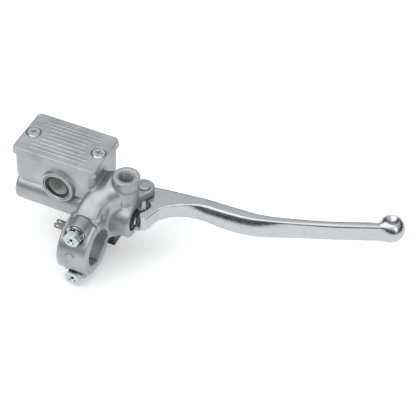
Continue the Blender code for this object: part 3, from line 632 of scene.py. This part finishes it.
def cap_field(x, y, z):
    """The clamp's cap: ring, lugs, spotfaces, bolt holes and a small raised arrow."""
    high = bpy.context.scene.brake_sizes.mark_height / MM
    cap = clamp_ring(x, y, z, -1)
    mark = together(arrow(x + 0.5, z - 4.0), np.hypot(y, z) - CLAMP_R - 1.4 * high, 0.2)
    cap = smooth_min(cap, np.maximum(mark, y + 10.0), 0.25)
    cap = smooth_max(cap, BAR_R - np.hypot(y, z), 0.6)
    for height in (-BOLT_Z, BOLT_Z):
        shift = height + (0.5 if height > 0 else -0.5)
        cap = smooth_max(cap, -(np.hypot(x, z - height) - 3.3), 0.4)
        cap = smooth_max(cap, -np.maximum(np.hypot(x, z - shift) - 7.0, y - SPOTFACE_Y), 0.5)
    return cap


def make_castings():
    """The body and the clamp's cap, each the surface where its field is 0."""
    sizes = bpy.context.scene.brake_sizes
    shape = surface_net(casting_field, (-61, -1.2, -28.5), (32.5, 56, 47),
                        sizes.cast_cell / MM)
    put("main_casting", shape, "cast_silver", "perch", ["master_cylinder_body"])
    shape = surface_net(cap_field, (-12.5, -22, -28.5), (12.5, 1.2, 28.5),
                        sizes.cast_cell / MM * 0.8)
    put("clamp_cap", shape, "cast_silver", "perch", ["handlebar_clamp_cap"])


# ---------------------------------------------------------------- cover


def dashes(x, y):
    """Rows of plain raised dashes along the cover's long side, as a distance.

    A row has a place across the cover and half its length. Its dashes have uneven lengths.
    """
    best = np.inf
    rng = np.random.default_rng(7)
    rows = ((13.2, 20.0), (10.2, 20.5), (7.2, 14.5), (3.4, 13.0), (0.2, 12.0), (-3.2, 16.0),
            (-7.0, 15.0), (-10.2, 20.5), (-13.4, 19.5))
    for offset, half in rows:
        start = -half
        while start < half:
            run = rng.uniform(1.4, 4.6)
            end = min(start + run, half)
            centre = (COVER[0] + (start + end) / 2, COVER[1] + offset)
            best = np.minimum(best, rectangle(x, y, centre, (end - start, 1.15), 0.3))
            start = end + 0.9
    return best


def cover_field(x, y, z):
    """The cover: a plate with drafted sides and crisp edges, its countersinks and marks."""
    high = bpy.context.scene.brake_sizes.mark_height / MM * 0.35
    draft = (COVER_TOP - z) / (COVER_TOP - COVER_LOW) - 0.5
    plate = rectangle(x, y, COVER, COVER_SIZE, 3.4) - draft
    middle, half = (COVER_TOP + COVER_LOW) / 2, (COVER_TOP - COVER_LOW) / 2
    plate = together(plate, abs(z - middle) - half, 0.55)
    mark = together(dashes(x, y), abs(z - COVER_TOP + 1.0) - 1.0 - high, 0.12)
    plate = smooth_min(plate, mark, 0.2)
    recess = np.maximum(rectangle(x, y, COVER, (37.0, 31.6), 3.0), z - COVER_LOW - 2.2)
    plate = smooth_max(plate, -recess, 0.3)
    hole = screw_holes(x, y, 0.0)
    sink = np.maximum(hole - 5.1, (hole - 2.2) * 0.707 - (z - 46.8) * 0.707)
    sink = np.minimum(sink, hole - 2.2)
    return smooth_max(plate, -sink, 0.25)


def make_cover():
    """The cover, as the surface where its field is 0."""
    shape = surface_net(cover_field, (-61, 12.5, 44.4), (3, 55.5, 51.2),
                        bpy.context.scene.brake_sizes.cover_cell / MM)
    put("ribbed_cover", shape, "cast_silver", "perch", ["reservoir_cover"])


# ---------------------------------------------------------------- lever

# The lever's two long edges seen from above, from its root to the ball and back.
RIDER_EDGE = [(38.6, 34.6), (43.5, 40.0), (49.5, 43.9), (56.0, 46.7), (62.0, 48.1), (69.0, 48.5),
              (80.0, 48.1), (91.0, 48.6), (100.0, 50.2), (108.0, 52.7), (117.0, 56.0),
              (128.0, 60.2), (140.0, 64.8), (152.5, 69.8), (165.0, 75.2), (177.0, 80.6),
              (185.0, 84.5)]
FRONT_EDGE = [(182.0, 90.0), (176.0, 85.8), (165.0, 80.8), (152.5, 75.0), (140.0, 70.0),
              (127.5, 65.2), (115.0, 60.8), (108.5, 58.8), (102.0, 57.5), (95.0, 56.7),
              (81.0, 56.4), (66.0, 56.6), (52.0, 56.4), (38.0, 55.0), (29.0, 53.4)]


def ring_points(centre, radius, start, end, steps):
    """Points on an arc between two angles in degrees."""
    angle = np.radians(np.linspace(start, end, steps + 1))
    return [(centre[0] + radius * np.cos(a), centre[1] + radius * np.sin(a)) for a in angle]


LEVER_PLAN = (RIDER_EDGE + FRONT_EDGE + ring_points(PIVOT, 7.6, 78.0, 305.0, 12)
              + [(29.8, 38.4), (31.8, 36.6), (32.2, 33.8), (31.0, 31.2)]
              + ring_points(CAM, 4.0, 118.0, 312.0, 8))
# The finger that holds the switch's plunger in, seen from the rider.
FINGER = [(22.6, -7.7), (25.3, -7.7), (34.0, -0.5), (34.0, 8.0), (31.6, 8.0), (31.6, 1.0),
          (22.6, -4.0)]
# Everything on the lever's side of the rider edge.
RIDER_SIDE = RIDER_EDGE + [(200.0, 91.0), (200.0, 140.0), (-10.0, 140.0), (-10.0, -20.0),
                           (38.6, -20.0)]


def ease(value, start, end):
    """0 before start, 1 after end, and a smooth S between them."""
    t = np.clip((value - start) / (end - start), 0.0, 1.0)
    return t * t * (3.0 - 2.0 * t)


def lever_field(x, y, z):
    """The lever: its plan with a crowned rider face, a flat web on top, and the ball."""
    plan = polygon(x, y, LEVER_PLAN)
    half = 5.4 + 1.3 * ease(x, 48.0, 95.0)
    up = np.clip((z - BALL[2]) / half, -1.2, 1.2)
    swell, fade = ease(x, 44.0, 70.0), ease(x, 96.0, 133.0)
    crown = 1.7 * swell * (1.0 - 0.7 * fade)
    belly = crown * (up + 0.45) ** 2 - 1.2 * swell * (1.0 - fade)
    rider = polygon(x, y, RIDER_SIDE) + belly
    blade = np.maximum(plan - 1.2 * swell * (1.0 - ease(x, 170.0, 180.0)), rider)
    edge = 0.5 + 1.3 * ease(x, 105.0, 150.0)
    blade = together(blade, abs(z - BALL[2]) - half, edge)
    ball = np.sqrt((x - BALL[0]) ** 2 + (y - BALL[1]) ** 2 + (z - BALL[2]) ** 2) - BALL_R
    dish = np.sqrt((x - BALL[0] + 1.5) ** 2 + (y - BALL[1] - 1.0) ** 2
                   + (z - BALL[2] - 11.5) ** 2) - 6.2
    lever = smooth_min(blade, smooth_max(ball, -dish, 1.0), 3.0)
    finger = together(polygon(x, z, FINGER), abs(y - PLUNGER[0]) - 2.0, 0.5)
    lever = smooth_min(lever, finger, 0.8)
    hole = np.hypot(x - PIVOT[0], y - PIVOT[1]) - 6.1
    return smooth_max(lever, -hole, 0.5)


def make_lever():
    """The lever, as the surface where its field is 0, and its bush, turned from a profile."""
    shape = surface_net(lever_field, (14, 20, -9), (196, 102.5, 22),
                        bpy.context.scene.brake_sizes.lever_cell / MM)
    put("hand_lever", shape, "lever_silver", "lever_arm", ["lever"])
    high, low = 16.3, 5.7
    shape = turned("Z", (*PIVOT, 0.0), [
        (5.8, high - 0.3), (5.5, high), (4.5, high), (4.3, high - 0.2), (4.3, low + 0.2),
        (4.5, low), (5.5, low), (5.8, low + 0.3)])
    put("pivot_bush", shape, "sintered_bronze", "lever_arm", ["lever_pivot_bush"], 30)


# ---------------------------------------------------------------- hardware


def thread(pitch, depth, start, end):
    """A radius change that cuts a V thread between two places along the axis."""
    def radius(r, angle, h):
        wave = abs(((h / pitch - angle / (2.0 * np.pi)) % 1.0) - 0.5) * 2.0
        fade = np.clip((h - start) / 0.6, 0, 1) * np.clip((end - h) / 0.6, 0, 1)
        return r - depth * wave * fade
    return radius


def hexagon(across, centre_h, crown):
    """A radius limit for a hexagon head whose corners are turned off by a cone."""
    def radius(r, angle, h):
        side = across / 2.0 / np.cos((angle + np.pi / 6) % (np.pi / 3) - np.pi / 6)
        cone = across / 2.0 * 1.02 + np.maximum(0.0, crown - abs(h - centre_h)) * 1.8
        return np.where(r > across * 0.3, np.minimum(np.minimum(side, cone), r), r)
    return radius


def make_hardware():
    """Two clamp bolts: hexagon head, threaded shank, flat washer and lock washer."""
    for side, z in (("upper", BOLT_Z), ("lower", -BOLT_Z)):
        centre = (0.0, 0.0, z)
        head = SPOTFACE_Y - 3.4
        profile = [(0.0, head - 3.6), (2.4, head - 3.6), (2.9, head - 4.2), (4.9, head - 4.2)]
        profile += [(6.4, head - 4.2 + t * 4.2) for t in np.linspace(0.0, 1.0, 14)] + [(2.9, head)]
        shape = turned("Y", centre, profile, 96, hexagon(10.0, head - 2.1, 2.15))
        put("bolt_head_" + side, shape, "zinc_plate", "perch",
            ["clamp_bolt_" + side], 32)
        rows = [(0.0, head + 0.05)] + [(2.95, h) for h in np.linspace(head + 0.05, 13.5, 150)]
        rows += [(2.3, 14.0), (0.0, 14.0)]
        shape = turned("Y", centre, rows, 48, thread(1.0, 0.5, -9.0, 14.0))
        put("bolt_shank_" + side, shape, "zinc_plate", "perch")
        near = SPOTFACE_Y - 0.3
        shape = turned("Y", centre, [
            (6.3, near - 0.2), (6.3, near - 0.85), (6.05, near - 1.1), (3.4, near - 1.1),
            (3.3, near - 0.95), (3.3, near - 0.05), (3.4, near), (6.1, near)])
        put("flat_washer_" + side, shape, "zinc_plate", "perch",
            ["clamp_flat_washer_" + side], 35)
        lock_washer("lock_washer_" + side, centre, SPOTFACE_Y - 1.55, side)


def make_pivot_hardware():
    """The pivot bolt with a low slotted head, its thread, and its nut."""
    centre = (*PIVOT, 0.0)
    rows = [(0.0, 23.2), (3.4, 23.15), (4.3, 22.9), (4.6, 22.5), (4.6, 22.2), (3.95, 22.2)]
    rows += [(3.95, 5.0), (3.95, -1.4), (3.8, -1.6)]
    rows += [(2.9, h) for h in np.linspace(-1.6, -8.6, 80)] + [(2.4, -9.0), (0.0, -9.0)]
    points, faces = turned("Z", centre, rows, 64, thread(1.0, 0.45, -9.5, -2.0))
    across = abs(points[:, 1] - PIVOT[1]) < 0.55
    points[across & (points[:, 2] > 22.85), 2] = 22.7
    put("pivot_bolt", (points, faces), "cast_silver", "perch", ["lever_pivot_bolt"], 35)
    middle = -1.9 - 2.5
    rows = [(3.3, middle + 2.4), (3.5, middle + 2.5), (5.0, middle + 2.5)]
    rows += [(6.4, middle + 2.5 - t * 5.0) for t in np.linspace(0.0, 1.0, 14)]
    rows += [(5.0, middle - 2.5), (3.5, middle - 2.5), (3.3, middle - 2.4)]
    shape = turned("Z", centre, rows, 96, hexagon(10.0, middle, 2.55))
    put("pivot_nut", shape, "zinc_plate", "perch", ["lever_pivot_nut"], 32)


def lock_washer(name, centre, near, side):
    """A square section carried 344 degrees round a bolt, its ends sprung apart."""
    count = 90
    angle = np.radians(np.linspace(8.0, 352.0, count))
    lift = np.linspace(-0.22, 0.22, count)
    section = np.array([(3.3, 0.0), (5.4, 0.0), (5.4, -1.2), (3.3, -1.2)])
    points = np.zeros((count, 4, 3))
    points[..., 2] = centre[2] + section[:, 0] * np.cos(angle)[:, None]
    points[..., 0] = centre[0] + section[:, 0] * np.sin(angle)[:, None]
    points[..., 1] = near - 0.25 + section[:, 1] + lift[:, None]
    faces = wrap(count, 4)
    caps = np.array([range(4), range(4 * count - 1, 4 * count - 5, -1)])
    put(name, (points.reshape(-1, 3), np.concatenate([faces, caps])), "zinc_plate", "perch",
        ["clamp_spring_washer_" + side], 35)


def make_threads():
    """Thread liners: the mirror hole's and the banjo port's, each a tube with a V thread."""
    inner = [(4.95, h) for h in np.linspace(43.6, 24.6, 130)]
    rows = [(5.35, 43.9)] + inner + [(5.35, 24.3)]
    shape = turned("Z", (*BOSS, 0.0), rows, 64, thread(1.6, 0.62, 24.0, 44.0))
    put("mirror_thread", shape, "cast_silver", "perch")
    inner = [(4.75, h) for h in np.linspace(-57.6, -46.4, 90)]
    rows = [(5.0, -57.9)] + inner + [(5.0, -46.1)]
    shape = turned("X", (0.0, BORE_Y, BORE_Z), rows, 64, thread(1.2, 0.5, -58.0, -46.0))
    put("port_thread", shape, "cast_silver", "perch")


# ---------------------------------------------------------------- sight glass


def make_sight_glass():
    """The window's lens, seal and retainer, each turned from a profile round Y."""
    centre = (GLASS[0], 0.0, GLASS[1])
    face = GLASS_FACE
    t = np.linspace(0.0, 1.0, 12)
    dome = [(6.7 * s, face + 0.15 + 1.2 * s * s) for s in t]
    shape = turned("Y", centre, dome + [(6.7, face + 2.6), (0.0, face + 2.6)])
    put("window_lens", shape, "smoked_glass", "perch", ["sight_glass_lens"], 50)
    shape = turned("Y", centre, [
        (8.75, face + 2.7), (8.75, face + 1.0), (8.55, face + 0.8), (7.2, face + 0.9),
        (6.9, face + 1.2), (6.9, face + 2.7)])
    put("window_seal", shape, "black_rubber", "perch", ["sight_glass_seal"], 50)
    shape = turned("Y", centre, [
        (9.7, face + 2.7), (9.7, face + 0.65), (9.5, face + 0.4), (9.1, face + 0.4),
        (8.9, face + 0.65), (8.9, face + 2.7)])
    put("window_retainer", shape, "zinc_plate", "perch", ["sight_glass_retainer"], 50)


# ---------------------------------------------------------------- hydraulics


def make_hydraulics():
    """The pieces in the bore, turned round X. The boot's folds are a cosine along its taper."""
    axis = (0.0, BORE_Y, BORE_Z)
    land = 6.65
    shape = turned("X", axis, [
        (0.0, 27.7), (2.9, 27.7), (3.5, 27.5), (4.2, 26.7), (4.2, 16.5), (land - 0.3, 16.5),
        (land, 16.2), (land, 14.3), (land - 0.3, 14.0), (4.3, 14.0), (4.3, 10.5),
        (land - 0.3, 10.5), (land, 10.2), (land, 8.8), (land - 0.3, 8.5), (4.0, 8.5),
        (4.0, -4.0), (land - 0.3, -4.0), (land, -4.3), (land, -6.7), (land - 0.3, -7.0),
        (3.0, -7.0), (3.0, -11.6), (2.6, -12.0), (0.0, -12.0)])
    put("pushed_piston", shape, "turned_alloy", "piston_set", ["piston"], 30)
    shape = turned("X", axis, [
        (5.4, -7.3), (6.3, -9.0), (6.6, -10.6), (6.3, -10.9), (6.0, -10.9), (5.2, -9.8),
        (4.6, -9.2), (3.4, -9.2), (3.4, -7.3)])
    put("front_cup", shape, "black_rubber", "piston_set", ["primary_cup"], 50)
    shape = turned("X", axis, [
        (5.6, 13.7), (6.3, 12.4), (6.6, 11.2), (6.3, 10.9), (6.0, 10.8), (5.2, 12.0),
        (4.6, 12.0), (4.6, 13.7)])
    put("rear_cup", shape, "black_rubber", "piston_set", ["secondary_cup"], 50)
    shape = turned("X", axis, [
        (8.2, 17.8), (8.1, 17.9), (4.9, 17.9), (4.8, 17.8), (4.8, 17.0), (4.9, 16.9),
        (8.1, 16.9), (8.2, 17.0)])
    put("stop_washer", shape, "spring_steel", "perch", ["piston_washer"], 35)
    t = np.linspace(0.0, 1.0, 45)
    swell = 0.9 * np.cos(2.0 * np.pi * 2.5 * t) * np.sin(np.pi * np.clip(t * 1.1, 0, 1)) ** 0.5
    taper = 7.6 - 1.9 * t
    outer = [(a + b, 20.0 + 7.4 * s) for a, b, s in zip(taper, swell, t)]
    inner = [(max(a + b - 0.75, 4.5), 20.1 + 7.2 * s) for a, b, s in zip(taper, swell, t)]
    shape = turned("X", axis, outer + inner[::-1], 72)
    boot = put("piston_boot", shape, "black_rubber", None, ["dust_boot"], 60)
    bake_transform(boot)
    shape = coil(BORE_Y, BORE_Z, -46.6, -11.4, 4.9, 0.6, 8)
    spring = put("return_spring", shape, "spring_steel", None,
                 ["piston_return_spring"])
    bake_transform(spring)


# ---------------------------------------------------------------- brake light switch


def switch_field(x, y, z):
    """The switch's case: three blended blocks, a lid seam and its bores."""
    case = block(x, y, z, (-20.0, 18.5, -15.0), (14.0, 31.0, -6.5), 0.9)
    case = smooth_min(case, block(x, y, z, (-8.0, 28.0, -9.0), (15.0, 37.0, -2.4), 0.9), 0.6)
    case = smooth_min(case, block(x, y, z, (-22.0, 14.0, -14.5), (-11.5, 22.0, -6.9), 0.8), 0.6)
    seam = np.maximum(abs(z + 12.9) - 0.22, -case - 0.5)
    case = smooth_max(case, -seam, 0.2)
    off_axis = np.hypot(y - PLUNGER[0], z - PLUNGER[1])
    holes = [np.maximum(off_axis - 1.75, 2.0 - x),
             np.maximum(off_axis - 2.1, abs(x) - 6.0),
             np.hypot(x - SWITCH_SCREW[0], y - SWITCH_SCREW[1]) - 1.9]
    for place in BLADES.values():
        holes.append(np.maximum(np.maximum(abs(y - place) - 0.7, abs(z + 11.7) - 2.6), x + 18.0))
    for hole in holes:
        case = smooth_max(case, -hole, 0.25)
    return case


def terminal_field(place):
    """A flat blade with a hole and a tapered tip, at one place along Y."""
    def field(x, y, z):
        blade = rectangle(x, z, (-24.45, -11.7), (12.3, 4.6), 1.2)
        blade = np.maximum(blade, 1.15 - np.hypot(x + 28.3, z + 11.7))
        return together(blade, abs(y - place) - 0.4, 0.12)
    return field


def make_switch():
    """The switch's case and blades as surfaces of fields, its turned pin and its spring."""
    shape = surface_net(switch_field, (-23, 13, -16), (16, 38, -1.4), 0.5)
    put("switch_case", shape, "black_plastic", "perch", ["brake_switch_body"])
    for letter, place in BLADES.items():
        shape = surface_net(terminal_field(place), (-31.2, place - 0.8, -14.6),
                            (-17.8, place + 0.8, -8.8), 0.22)
        put("terminal_" + letter, shape, "tinned_brass", "perch",
            ["switch_terminal_" + letter])
    shape = turned("X", (0.0, *PLUNGER), [
        (0.0, 22.3), (0.7, 22.2), (1.2, 21.9), (1.45, 21.3), (1.45, 4.6), (1.25, 4.4),
        (0.0, 4.4)], 48)
    put("switch_pin_rod", shape, "white_nylon", "switch_pin", ["switch_plunger"], 50)
    shape = coil(*PLUNGER, -5.7, 4.1, 1.35, 0.25, 6, 8, 20)
    spring = put("switch_spring", shape, "spring_steel", None,
                 ["switch_plunger_spring"])
    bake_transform(spring)


# ---------------------------------------------------------------- kept CAD nodes

KEPT = {
    "zinc_plate": ("cover_screw_left", "cover_screw_right", "switch_screw"),
    "spring_steel": ("circlip",),
    "white_nylon": ("diaphragm_plate", "splash_guard"),
    "black_rubber": ("cover_diaphragm",),
}


def repaint_kept():
    """Gives the CAD nodes that stay their finish."""
    for finish, names in KEPT.items():
        for name in names:
            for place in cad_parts[name].material_slots:
                place.material = FINISHES[finish]()


# ---------------------------------------------------------------- stage

CAMERA_PLACE = (0.24417, -0.46612, 0.55943)
CAMERA_RIGHT = (0.92347915, 0.37891157, 0.06010225)
CAMERA_UP = (-0.30759166, 0.63763239, 0.70626645)
CAMERA_BACK = (0.22928939, -0.6707093, 0.70539026)
CAMERA_LENS = 99.7225

# Each light's name, place, target, width and length in metres, and watts.
LIGHTS = (
    ("overhead", (-0.30, -0.15, 1.40), (0.05, 0.04, 0.0), (2.4, 1.7), 13.5),
    ("side", (1.1, -0.5, 0.75), (0.06, 0.04, 0.0), (0.35, 0.9), 2.2),
    ("strip", (-0.7, -0.9, 1.0), (0.0, 0.02, 0.0), (0.25, 0.8), 2.2),
)
FLOOR_HALF, FLOOR_GAP = 2.2, 0.0008


def studio_light(name, place, target, size, power):
    """A rectangular area light that faces its target."""
    lamp = bpy.data.lights.new(name, "AREA")
    lamp.shape = "RECTANGLE"
    lamp.size, lamp.size_y = size
    lamp.energy = power
    item = bpy.data.objects.new(name, lamp)
    bpy.context.scene.collection.objects.link(item)
    item.location = place
    item.rotation_euler = (Vector(target) - Vector(place)).to_track_quat("-Z", "Y").to_euler()


def make_stage():
    """The camera, a pale floor under the object, soft lights and an even surround."""
    scene = bpy.context.scene
    lens = bpy.data.cameras.new("camera")
    lens.sensor_width = 36.0
    lens.lens = CAMERA_LENS
    camera = bpy.data.objects.new("camera", lens)
    scene.collection.objects.link(camera)
    turn = Matrix((CAMERA_RIGHT, CAMERA_UP, CAMERA_BACK)).transposed().to_4x4()
    camera.matrix_world = Matrix.Translation(CAMERA_PLACE) @ turn
    scene.camera = camera
    side, low = FLOOR_HALF, CAD_BOX[0][2] - FLOOR_GAP
    mesh = bpy.data.meshes.new("floor")
    mesh.from_pydata([(-side, -side, low), (side, -side, low), (side, side, low),
                      (-side, side, low)], [], [(0, 1, 2, 3)])
    floor = bpy.data.objects.new("floor", mesh)
    scene.collection.objects.link(floor)
    pale = tuple(scene.brake_colours.floor)
    mesh.materials.append(shader("studio_floor", {
        "Base Color": (*pale, 1.0), "Roughness": 0.6, "Specular IOR Level": 0.3,
        "Emission Color": (*pale, 1.0), "Emission Strength": 0.30})[0])
    for light in LIGHTS:
        studio_light(*light)
    world = scene.world or bpy.data.worlds.new("surround")
    scene.world = world
    world.use_nodes = True
    tree = world.node_tree
    spot = node(tree, "ShaderNodeTexCoord").outputs["Generated"]
    height = node(tree, "ShaderNodeSeparateXYZ", Vector=spot).outputs["Z"]
    ramp = node(tree, "ShaderNodeValToRGB", Fac=height)
    stops = ramp.color_ramp.elements
    stops[0].position, stops[0].color = 0.0, (0.015, 0.016, 0.017, 1.0)
    stops[1].position, stops[1].color = 0.72, (0.80, 0.82, 0.84, 1.0)
    for place, level in ((0.33, 0.04), (0.50, 0.45)):
        stop = stops.new(place)
        stop.color = (level, level * 1.02, level * 1.04, 1.0)
    tree.links.new(ramp.outputs["Color"], tree.nodes["Background"].inputs["Color"])
    tree.nodes["Background"].inputs["Strength"].default_value = 1.0
    scene.view_settings.view_transform = "Standard"


# ---------------------------------------------------------------- add-on


class BRAKE_OT_stage(bpy.types.Operator):
    """Makes the camera, floor, lights and surround"""
    bl_idname = "brake.stage"
    bl_label = "Stage"

    def execute(self, context):
        make_stage()
        return {"FINISHED"}


class BRAKE_OT_castings(bpy.types.Operator):
    """Makes the main casting and the clamp's cap"""
    bl_idname = "brake.castings"
    bl_label = "Castings"

    def execute(self, context):
        make_castings()
        return {"FINISHED"}


class BRAKE_OT_cover(bpy.types.Operator):
    """Makes the reservoir's cover"""
    bl_idname = "brake.cover"
    bl_label = "Cover"

    def execute(self, context):
        make_cover()
        return {"FINISHED"}


class BRAKE_OT_lever(bpy.types.Operator):
    """Makes the lever and its bush"""
    bl_idname = "brake.lever"
    bl_label = "Lever"

    def execute(self, context):
        make_lever()
        return {"FINISHED"}


class BRAKE_OT_hardware(bpy.types.Operator):
    """Makes the clamp's bolts and washers"""
    bl_idname = "brake.hardware"
    bl_label = "Hardware"

    def execute(self, context):
        make_hardware()
        return {"FINISHED"}


class BRAKE_OT_pivot(bpy.types.Operator):
    """Makes the lever's pivot bolt and nut"""
    bl_idname = "brake.pivot"
    bl_label = "Pivot"

    def execute(self, context):
        make_pivot_hardware()
        return {"FINISHED"}


class BRAKE_OT_threads(bpy.types.Operator):
    """Makes the mirror hole's and port's threads"""
    bl_idname = "brake.threads"
    bl_label = "Threads"

    def execute(self, context):
        make_threads()
        return {"FINISHED"}


class BRAKE_OT_sight_glass(bpy.types.Operator):
    """Makes the lens, seal and retainer"""
    bl_idname = "brake.sight_glass"
    bl_label = "Sight glass"

    def execute(self, context):
        make_sight_glass()
        return {"FINISHED"}


class BRAKE_OT_hydraulics(bpy.types.Operator):
    """Makes the piston, cups, boot and spring"""
    bl_idname = "brake.hydraulics"
    bl_label = "Hydraulics"

    def execute(self, context):
        make_hydraulics()
        return {"FINISHED"}


class BRAKE_OT_switch(bpy.types.Operator):
    """Makes the switch's case, blades, pin and spring"""
    bl_idname = "brake.switch"
    bl_label = "Brake switch"

    def execute(self, context):
        make_switch()
        return {"FINISHED"}


class BRAKE_OT_kept(bpy.types.Operator):
    """Gives the kept CAD nodes their finish"""
    bl_idname = "brake.kept"
    bl_label = "Kept nodes"

    def execute(self, context):
        repaint_kept()
        return {"FINISHED"}


STEPS = (BRAKE_OT_stage, BRAKE_OT_castings, BRAKE_OT_cover, BRAKE_OT_lever, BRAKE_OT_hardware,
         BRAKE_OT_pivot, BRAKE_OT_threads, BRAKE_OT_sight_glass, BRAKE_OT_hydraulics,
         BRAKE_OT_switch, BRAKE_OT_kept)


class BRAKE_PT_panel(bpy.types.Panel):
    """Lists the sizes, colours and steps."""
    bl_idname = "BRAKE_PT_panel"
    bl_label = "Brake master cylinder"
    bl_space_type = "VIEW_3D"
    bl_region_type = "UI"
    bl_category = "Brake"

    def draw(self, context):
        for group in (context.scene.brake_sizes, context.scene.brake_colours):
            for name in group.__annotations__:
                self.layout.prop(group, name)
        for step in STEPS:
            self.layout.operator(step.bl_idname)


CLASSES = (BrakeSizes, BrakeColours, *STEPS, BRAKE_PT_panel)


def register():
    for item in CLASSES:
        bpy.utils.register_class(item)
    bpy.types.Scene.brake_sizes = bpy.props.PointerProperty(type=BrakeSizes)
    bpy.types.Scene.brake_colours = bpy.props.PointerProperty(type=BrakeColours)


def unregister():
    del bpy.types.Scene.brake_sizes
    del bpy.types.Scene.brake_colours
    for item in reversed(CLASSES):
        bpy.utils.unregister_class(item)


def main():
    """Registers the classes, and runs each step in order."""
    register()
    for step in STEPS:
        getattr(bpy.ops.brake, step.bl_idname.split(".")[1])()


if __name__ == "__main__":
    main()
